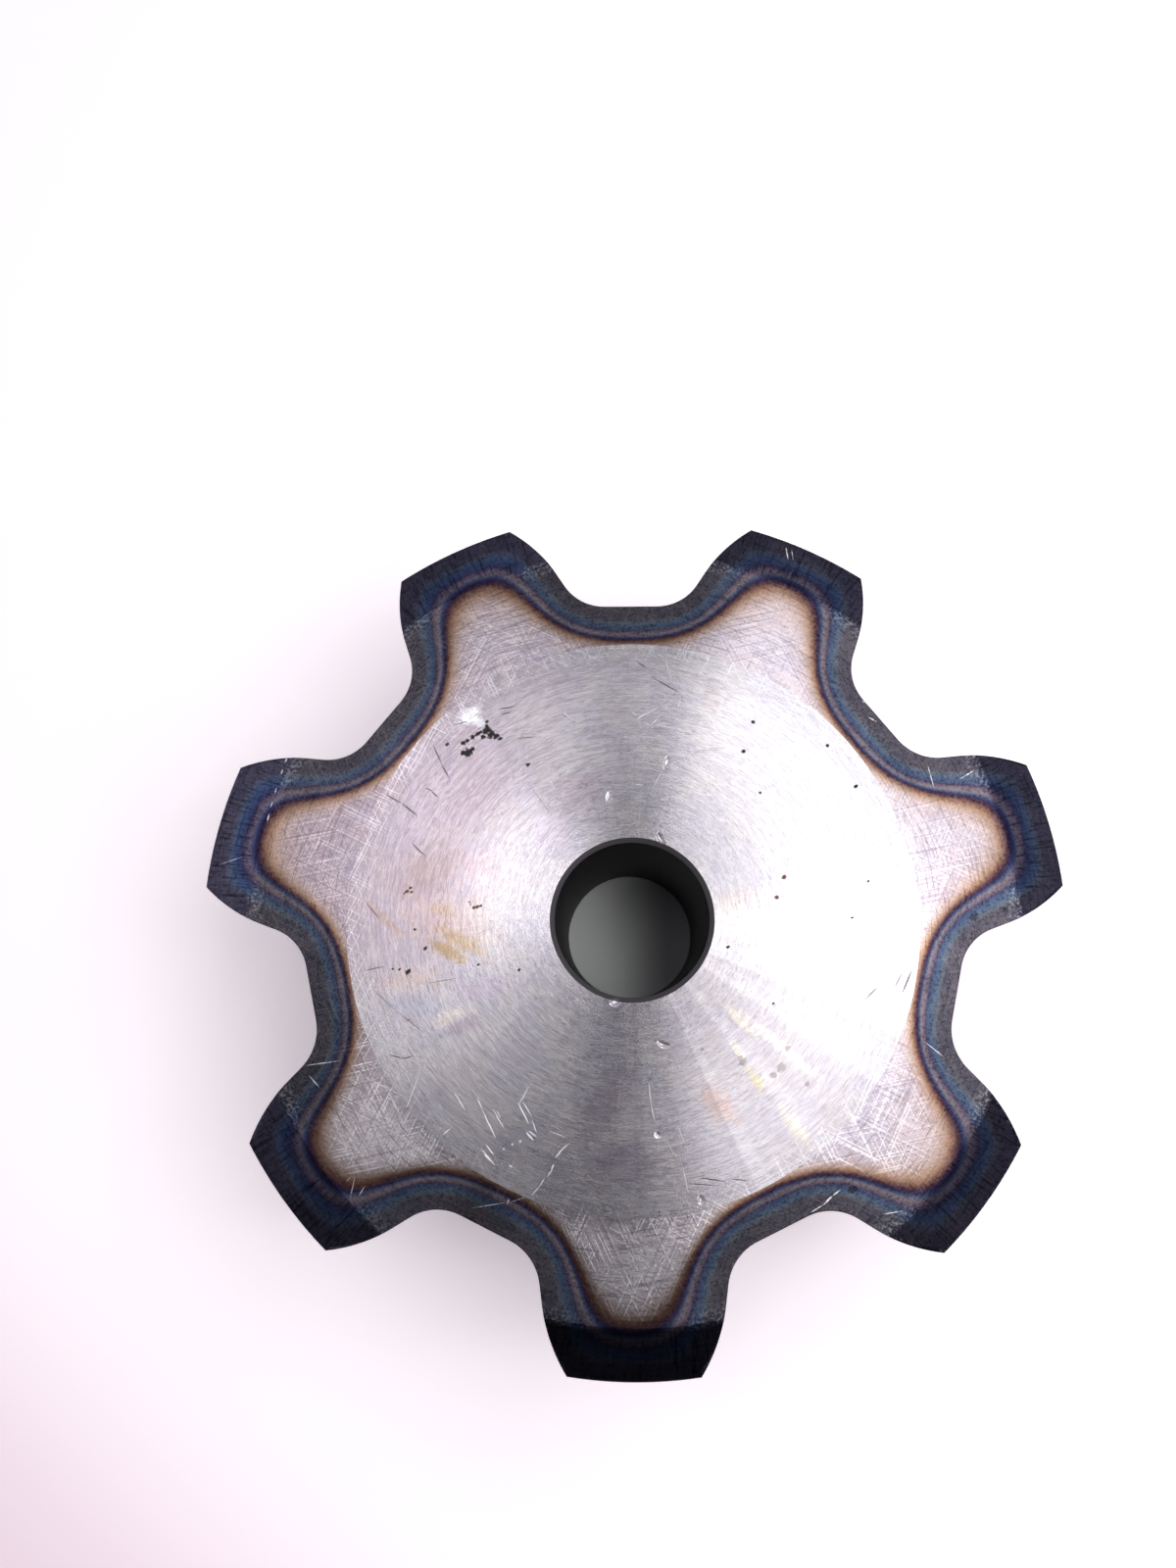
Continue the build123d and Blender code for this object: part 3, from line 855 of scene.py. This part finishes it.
def ground_steel(name, marks):
    """Steel that was turned, then ground by hand in crossing strokes, with heat colours behind its rim."""
    steel = SteelRecipe(name)
    rings = steel.rings(3.0, 10.0, 2.0, 0.7)
    grain = steel.noise(steel.place, 2.0, 2.0, 0.8)
    cloud = steel.noise(steel.flat_place, 0.12, 3.0, 0.6)
    share_out = steel.add("ShaderNodeSeparateColor")
    steel.feed(share_out.inputs[0], steel.noise(steel.flat_place, 0.16, 1.0, 0.6, colour=True))
    strokes = 0.0
    gaps = 1.0
    for number, (angle, across, along) in enumerate(HATCH):
        line = steel.lines(angle, across, along, 0.0)
        here = steel.fade(share_out.outputs[number % 3], 0.40, 0.60, 0.5, 1.0)
        strokes = steel.calc("MAXIMUM", strokes, steel.calc("MULTIPLY", steel.fade(line, 0.61, 0.73), here))
        gaps = steel.calc("MINIMUM", gaps, steel.fade(line, 0.24, 0.34))
    # Belt marks run across the bevel
    spin = steel.add("ShaderNodeSeparateXYZ")
    steel.feed(spin.inputs[0], steel.outwards)
    belt_x = steel.calc("MULTIPLY", spin.outputs[0], 170.0)
    belt_y = steel.calc("MULTIPLY", spin.outputs[1], 170.0)
    belt_place = steel.join(belt_x, belt_y, steel.calc("MULTIPLY", steel.radius, 0.2))
    belt = steel.noise(belt_place, 1.0, 2.0, 0.7)
    on_bevel = steel.fade(steel.radius, BEVEL_RADIUS - 0.1, BEVEL_RADIUS + 0.1)
    past_crease = steel.fade(steel.radius, BEVEL_RADIUS - 1.3, BEVEL_RADIUS + 1.0)
    strokes = steel.calc("MULTIPLY", strokes, steel.mix_value(past_crease, 1.0, 0.08))
    depth_note = steel.add("ShaderNodeAttribute", attribute_name="rim_depth").outputs["Fac"]
    # The colour bands are clean lines, but the brown fade behind them follows the grinding
    bristle = steel.calc("MULTIPLY_ADD", grain, 0.5, -0.25)
    roughened = steel.mix_value(on_bevel, 0.2, 0.9)
    bristle = steel.calc("MULTIPLY_ADD", steel.calc("SUBTRACT", belt, 0.5), roughened, bristle)
    frayed = steel.fade(depth_note, 5.2, 6.2, steel.mix_value(on_bevel, 0.15, 0.7), 1.0)
    bristle = steel.calc("MULTIPLY", bristle, frayed)
    depth = steel.calc("ADD", depth_note, bristle)
    share = steel.calc("DIVIDE", depth, DEEPEST_HEAT, clamp=True)
    colour = steel.steps(share, [(place / DEEPEST_HEAT, tint) for place, tint in HEAT_COLOURS])
    bright = steel.fade(depth, 5.5, 6.4)
    bare = steel.fade(depth, 6.2, 8.2)
    # Painted light and shade: the scale is drawn lighter or darker by the side it faces, on the bevel tooth
    # by tooth, with a random cloud over it
    facing_upper_right = steel.towards(40)
    side_light = steel.calc("MULTIPLY_ADD", facing_upper_right, 0.25, 0.92)
    for angle, start, more in ((-95, 0.90, 2.0), (-135, 0.96, 1.8)):
        nearby = steel.towards(angle)
        side_light = steel.calc("MULTIPLY", side_light, steel.fade(nearby, start, 0.995, 1.0, more))
    bevel_side_light = 0.0
    for angle, tone in BEVEL_PAINTED_LIGHT:
        nearby = steel.towards(angle)
        bevel_side_light = steel.calc("MAXIMUM", bevel_side_light, steel.fade(nearby, 0.90, 0.96, 0.0, tone))
    side_light = steel.mix_value(past_crease, side_light, bevel_side_light)
    side_light = steel.calc("MULTIPLY", side_light, steel.calc("MULTIPLY_ADD", cloud, 0.8, 0.6))
    colour = steel.vector("SCALE", colour, scale=steel.mix_value(bright, side_light, 1.0))
    warmth = steel.mix(steel.fade(cloud, 0.4, 0.6), shade(246, 243, 252), shade(255, 247, 250))
    colour = steel.mix(1.0, colour, warmth, "MULTIPLY")
    lower_left = steel.towards(-105)
    stroke_glint_strength = steel.calc("MULTIPLY", bare, steel.fade(lower_left, 0.2, 0.8, 0.24, 0.90))
    # Painted shade and light: ground metal throws back light from more sides than turned metal, so it is
    # drawn less bright on the window side and less dark on the lower left
    towards_window = steel.towards(-5)
    well_out = steel.calc("MULTIPLY", bare, steel.fade(steel.radius, FACED_RADIUS - 1.0, FACED_RADIUS + 4.0))
    window_side_shade = steel.calc("MULTIPLY", well_out, steel.fade(towards_window, 0.2, 0.75))
    colour = steel.mix(window_side_shade, colour, (0.85, 0.835, 0.84, 1.0), "MULTIPLY")
    # The ground on the left is dimmed
    facing_left = steel.towards(168)
    left_dimming = steel.calc("MULTIPLY", bare, steel.fade(facing_left, 0.55, 0.95))
    colour = steel.mix(left_dimming, colour, (0.68, 0.63, 0.65, 1.0), "MULTIPLY")
    # Painted light: the ground well out on the lower left is drawn paler
    lower_left_light = steel.calc("MULTIPLY", well_out, steel.fade(lower_left, 0.6, 0.95, 0.0, 1.0))
    colour = steel.mix(lower_left_light, colour, shade(248, 240, 245))
    # Painted glints: the grinding strokes are drawn pale, most of all on the lower left
    stroke_glints = steel.calc("MULTIPLY", strokes, steel.calc("MAXIMUM", stroke_glint_strength, 0.03))
    colour = steel.mix(stroke_glints, colour, shade(250, 247, 251))
    shaded = steel.calc("MULTIPLY", steel.calc("SUBTRACT", 1.0, gaps), steel.mix_value(bare, 0.15, 0.55))
    colour = steel.mix(shaded, colour, shade(186, 180, 188), "MULTIPLY")
    colour = steel.mix(steel.fade(rings, 0.50, 0.32, 0.0, 0.7), colour, shade(190, 186, 192), "MULTIPLY")
    colour = steel.mix(steel.fade(grain, 0.48, 0.28, 0.0, 0.6), colour, shade(184, 179, 186), "MULTIPLY")
    streaks = steel.calc("MULTIPLY", on_bevel, steel.fade(belt, 0.52, 0.30, 0.0, 0.8))
    colour = steel.mix(streaks, colour, shade(120, 122, 132), "MULTIPLY")
    colour = steel.mix(past_crease, colour, (0.94, 0.97, 1.22, 1.0), "MULTIPLY")
    speckle = steel.calc("MULTIPLY", steel.fade(grain, 0.55, 0.35), steel.mix_value(bright, 0.6, 0.0))
    colour = steel.mix(speckle, colour, shade(170, 172, 178), "MULTIPLY")
    # Scale is rubbed along the start of the bevel, and nicked at the rim
    before_crease = steel.fade(steel.radius, BEVEL_RADIUS - 2.8, BEVEL_RADIUS - 0.4)
    rubbed = steel.calc("MULTIPLY", before_crease, steel.fade(steel.radius, BEVEL_RADIUS + 0.9, BEVEL_RADIUS))
    rubbed = steel.calc("MULTIPLY", rubbed, steel.fade(depth_note, 5.0, 3.6))
    rub = steel.calc("MULTIPLY", steel.fade(grain, 0.50, 0.64), steel.calc("MULTIPLY", rubbed, 0.45))
    colour = steel.mix(rub, colour, shade(150, 150, 158))
    nicks = steel.calc("MULTIPLY", steel.fade(depth_note, 0.7, 0.2), steel.fade(grain, 0.6, 0.72, 0.0, 0.4))
    colour = steel.mix(nicks, colour, shade(150, 148, 156))
    if marks:
        # Painted glint: the rim scratches are drawn pale
        light = steel.scratches(steel.x, steel.y, RIM_SCRATCHES)
        light = steel.calc("MULTIPLY", light, steel.fade(grain, 0.38, 0.52, 0.3, 0.9))
        colour = steel.mix(light, colour, shade(226, 223, 230))
        burnt = steel.specks(BURNT_SPOTS, steel.calc("MULTIPLY_ADD", grain, 2.0, -1.0))
        colour = steel.mix(steel.calc("MULTIPLY", burnt, 0.7), colour, shade(34, 32, 38))
    height = steel.calc("MULTIPLY_ADD", strokes, -0.2, steel.calc("MULTIPLY", rings, 0.5))
    height = steel.calc("MULTIPLY_ADD", steel.calc("MULTIPLY", belt, on_bevel), 0.5, height)
    normal = steel.bump(height, 0.016)
    roughness = steel.mix_value(bright, steel.mix_value(on_bevel, 0.34, 0.26), 0.25)
    return steel.close(colour, 1.0, roughness, normal, 0.88, steel.round_axis, 0.25)


def hardened_flank(name):
    """Dark scale on the tooth flanks, with the cutter's marks down them."""
    steel = SteelRecipe(name)
    drag = steel.noise(steel.vector("MULTIPLY", steel.place, (1.6, 1.6, 0.10)), 1.0, 3.0, 0.6)
    cloud = steel.noise(steel.place, 0.16, 3.0, 0.6)
    grain = steel.noise(steel.place, 1.8, 3.0, 0.7)
    colour = steel.mix(steel.fade(cloud, 0.35, 0.65), shade(58, 57, 64), shade(70, 74, 84))
    colour = steel.mix(steel.fade(cloud, 0.6, 0.75, 0.0, 0.5), colour, shade(78, 68, 66))
    colour = steel.mix(steel.fade(drag, 0.45, 0.7, 0.0, 0.4), colour, shade(104, 104, 114))
    colour = steel.mix(steel.fade(grain, 0.62, 0.75, 0.0, 0.35), colour, shade(120, 118, 126))
    height = steel.calc("ADD", drag, steel.calc("MULTIPLY", grain, 0.25))
    normal = steel.bump(height, 0.06)
    roughness = steel.fade(grain, 0.3, 0.7, 0.38, 0.5)
    return steel.close(colour, 1.0, roughness, normal, 0.3, (0.0, 0.0, 1.0), 0.25)


def turned_steel(name, bright, dark, height, roughness, mouth=None):
    """Steel turned round the axis, on the hub's side and in the bore, whose mouth may have its own shade."""
    steel = SteelRecipe(name)
    fine = steel.rings(2.6, 3.0, 4.0, 0.7)
    broad = steel.rings(0.35, 3.0, 3.0, 0.6)
    cloud = steel.noise(steel.place, 0.07, 3.0, 0.6)
    colour = steel.mix(steel.fade(cloud, 0.35, 0.65), bright, dark)
    colour = steel.mix(steel.fade(fine, 0.35, 0.65, 0.0, 0.3), colour, shade(228, 224, 228), "MULTIPLY")
    colour = steel.mix(steel.fade(broad, 0.55, 0.7, 0.0, 0.3), colour, shade(190, 184, 186), "MULTIPLY")
    if mouth is not None:
        chamfer_start = FACED_TOP - BORE_CHAMFER
        colour = steel.mix(steel.fade(steel.z, chamfer_start - 0.1, chamfer_start + 0.1), colour, mouth)
    normal = steel.bump(steel.calc("ADD", fine, steel.calc("MULTIPLY", broad, 0.5)), height)
    return steel.close(colour, 1.0, roughness, normal, 0.8, steel.round_axis, 0.25)


# The sprocket

def dress(piece):
    """Gives each surface the finish that its machining left."""
    finishes = [
        ground_steel("ground flush side", True),
        ground_steel("ground hub side", False),
        hardened_flank("hardened tooth flanks"),
        turned_steel("turned hub", shade(186, 183, 188), shade(168, 164, 168), 0.012, 0.32),
        faced_steel("faced hub end"),
        # Painted shade: the bore is drawn near black, and its chamfered mouth dark grey
        turned_steel("bored hole", shade(38, 36, 41), shade(28, 27, 31), 0.01, 0.38, shade(86, 83, 88)),
    ]
    faced_from = len(finishes)
    for number in range(SLICES):
        finishes.append(faced_steel(f"faced flush side {number + 1}", number))
    for finish in finishes:
        piece.data.materials.append(finish)
    for face in piece.data.polygons:
        x, y, z = (part / MM for part in face.center)
        radius = hypot(x, y)
        up = face.normal.z
        if radius < BORE_RADIUS + BORE_CHAMFER and z < FACED_TOP - 0.02:
            face.material_index = 5
        elif z > FACED_TOP - 1 and up > 0.5 and radius < FACED_RADIUS:
            turn = degrees(atan2(y, x)) - FIRST_SLICE + 180 / SLICES
            face.material_index = faced_from + int(turn % 360 // (360 / SLICES))
        elif z > PLATE_TOP - 2 and up > 0.5:
            face.material_index = 0
        elif z > PLATE_BOTTOM - 0.01 and up < -0.5:
            face.material_index = 1
        elif z < HUB_END + 0.01:
            face.material_index = 4
        elif z < PLATE_BOTTOM:
            face.material_index = 3
        else:
            face.material_index = 2


def make_sprocket():
    piece, sharp = draw_skin("machined_sprocket")
    mark_sharp_edges(piece, sharp)
    press_dents(piece)
    note_rim_depth(piece)
    bpy.ops.object.shade_smooth()
    weights = piece.modifiers.new("even shading", "WEIGHTED_NORMAL")
    weights.keep_sharp = True
    bpy.ops.object.modifier_apply(modifier=weights.name)
    dress(piece)
    return piece


sprocket = make_sprocket()
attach(sprocket, "root")
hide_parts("sprocket")


# The table

TABLE_SIZE = 6.0
TABLE_GAP = 0.05


def table_finish():
    """Pale table, a little brighter where it is seen or mirrored than the light that it gives back."""
    material = bpy.data.materials.new("pale table")
    material.use_nodes = True
    recipe = Recipe(material.node_tree)
    path = recipe.add("ShaderNodeLightPath")
    seen = recipe.calc("MAXIMUM", path.outputs["Is Camera Ray"], path.outputs["Is Glossy Ray"])
    seen = recipe.calc("MAXIMUM", seen, path.outputs["Is Transmission Ray"])
    tone = recipe.mix(seen, (0.80, 0.74, 0.78, 1.0), (1.42, 1.31, 1.38, 1.0))
    # Painted shade: it falls off a little towards the near left corner of the view
    place = recipe.vector("SCALE", recipe.add("ShaderNodeTexCoord").outputs["Object"], scale=1 / MM)
    distance = recipe.vector("LENGTH", place)
    corner = recipe.fade(recipe.vector("DOT_PRODUCT", place, (-0.6, -0.8, 0.0)), 110.0, 185.0)
    corner = recipe.calc("MULTIPLY", corner, recipe.fade(distance, 270.0, 205.0))
    tone = recipe.mix(corner, tone, recipe.mix(1.0, tone, (0.80, 0.72, 0.765, 1.0), "MULTIPLY"))
    # Under the bore it lies in the shade of the camera, more so to the right
    split = recipe.add("ShaderNodeSeparateXYZ")
    recipe.feed(split.inputs[0], place)
    under_bore = recipe.fade(distance, BORE_RADIUS + 2, BORE_RADIUS)
    shaded = recipe.fade(split.outputs[0], -9.0, 9.0)
    shade_tone = recipe.mix(shaded, (1.0, 1.12, 1.04, 1.0), (0.2, 0.21, 0.22, 1.0))
    tone = recipe.mix(under_bore, tone, recipe.mix(1.0, tone, shade_tone, "MULTIPLY"))
    paper = recipe.add("ShaderNodeBsdfDiffuse")
    recipe.feed(paper.inputs["Color"], tone)
    # Far off it looks plain white
    white = recipe.add("ShaderNodeEmission")
    far_off = recipe.add("ShaderNodeMixShader")
    how_far = recipe.fade(distance, 205.0, 400.0)
    recipe.feed(far_off.inputs[0], recipe.calc("MULTIPLY", path.outputs["Is Camera Ray"], how_far))
    recipe.feed(far_off.inputs[1], paper.outputs[0])
    recipe.feed(far_off.inputs[2], white.outputs[0])
    end = recipe.add("ShaderNodeOutputMaterial")
    recipe.feed(end.inputs["Surface"], far_off.outputs[0])
    return material


def make_table():
    bpy.ops.object.select_all(action="DESELECT")
    bpy.ops.mesh.primitive_plane_add(size=TABLE_SIZE, location=(0, 0, (HUB_END - TABLE_GAP) * MM))
    table = bpy.context.object
    table.name = "table"
    table.data.materials.append(table_finish())
    return table


make_table()


# Light and camera. Two of the lamps hang just off the others' height, so that no two lie in each other.

LAMP_HEIGHT = 0.45
HEIGHT_STEP = 0.0005
WHITE = (1.0, 1.0, 1.0)
FAINT_LILAC = (1.0, 0.98, 1.0)


def softbox(name, middle, size, turn, power, colour):
    """A flat lamp that hangs level and shines down. Place and size in metres, turn in degrees."""
    bpy.ops.object.select_all(action="DESELECT")
    bpy.ops.object.light_add(type="AREA", location=middle, rotation=(0, 0, radians(turn)))
    lamp = bpy.context.object
    lamp.name = name
    lamp.data.shape = "RECTANGLE"
    lamp.data.size, lamp.data.size_y = size
    lamp.data.energy = power
    lamp.data.color = colour
    lamp.visible_camera = False
    return lamp


def edge_softbox(name, edge_angle, side, start, length, width, height, power, colour):
    """A softbox with one long edge on a line through the axis, at an angle seen from above."""
    along = np.array([cos(radians(edge_angle)), sin(radians(edge_angle))])
    across = np.array([-along[1], along[0]]) * side
    middle = along * (start + length / 2) + across * width / 2
    return softbox(name, (*middle, height), (length, width), edge_angle, power, colour)


def light_room():
    """Pale walls low down, and a dim ceiling, dark overhead and on the side where the camera is held."""
    world = bpy.data.worlds.new("room")
    bpy.context.scene.world = world
    world.use_nodes = True
    recipe = Recipe(world.node_tree)
    facing = recipe.add("ShaderNodeTexCoord").outputs["Generated"]
    split = recipe.add("ShaderNodeSeparateXYZ")
    recipe.feed(split.inputs[0], facing)
    x, y, z = split.outputs
    level = recipe.vector("NORMALIZE", recipe.vector("MULTIPLY", facing, (1.0, 1.0, 0.0)))
    towards = recipe.vector("DOT_PRODUCT", level, (cos(radians(-100)), sin(radians(-100)), 0.0))
    ceiling = recipe.mix(recipe.fade(towards, 0.5, 0.85), (0.37, 0.36, 0.375, 1.0), (0.08, 0.08, 0.09, 1.0))
    ceiling = recipe.mix(recipe.fade(z, 0.95, 0.985), ceiling, (0.03, 0.03, 0.035, 1.0))
    room = recipe.mix(recipe.fade(z, 0.5, 0.3), ceiling, (1.0, 0.98, 1.0, 1.0))
    glow = recipe.add("ShaderNodeBackground")
    recipe.feed(glow.inputs["Color"], room)
    end = recipe.add("ShaderNodeOutputWorld")
    recipe.feed(end.inputs["Surface"], glow.outputs[0])


def place_camera():
    bpy.ops.object.select_all(action="DESELECT")
    bpy.ops.object.camera_add(location=(-0.00194, -0.01359, 0.19704), rotation=(0.16967, 0.0168, 0.0))
    camera = bpy.context.object
    camera.data.lens = 25.5
    camera.data.sensor_width = 36.0
    camera.data.shift_x = -0.00878
    camera.data.shift_y = 0.01745
    camera.data.clip_start = 0.01
    bpy.context.scene.camera = camera


place_camera()
edge_softbox("window, upper half", 74, -1, 0.04, 0.36, 0.36, LAMP_HEIGHT, 0.90, WHITE)
softbox("window, middle", (0.21, 0.0, LAMP_HEIGHT + HEIGHT_STEP), (0.34, 0.09), 0, 0.19, WHITE)
edge_softbox("window, lower half", -71, 1, 0.045, 0.36, 0.36, LAMP_HEIGHT, 0.66, (1.0, 0.985, 0.98))
softbox("left softbox", (-0.185, 0.09, LAMP_HEIGHT), (0.31, 0.27), 0, 0.22, FAINT_LILAC)
softbox("left softbox, middle", (-0.07, 0.07, LAMP_HEIGHT - HEIGHT_STEP), (0.06, 0.10), 0, 0.073, FAINT_LILAC)
softbox("top softbox", (-0.02, 0.40, LAMP_HEIGHT), (0.3, 0.48), 0, 0.18, (0.97, 0.97, 1.0))
light_room()
bpy.context.scene.view_settings.view_transform = "Standard"
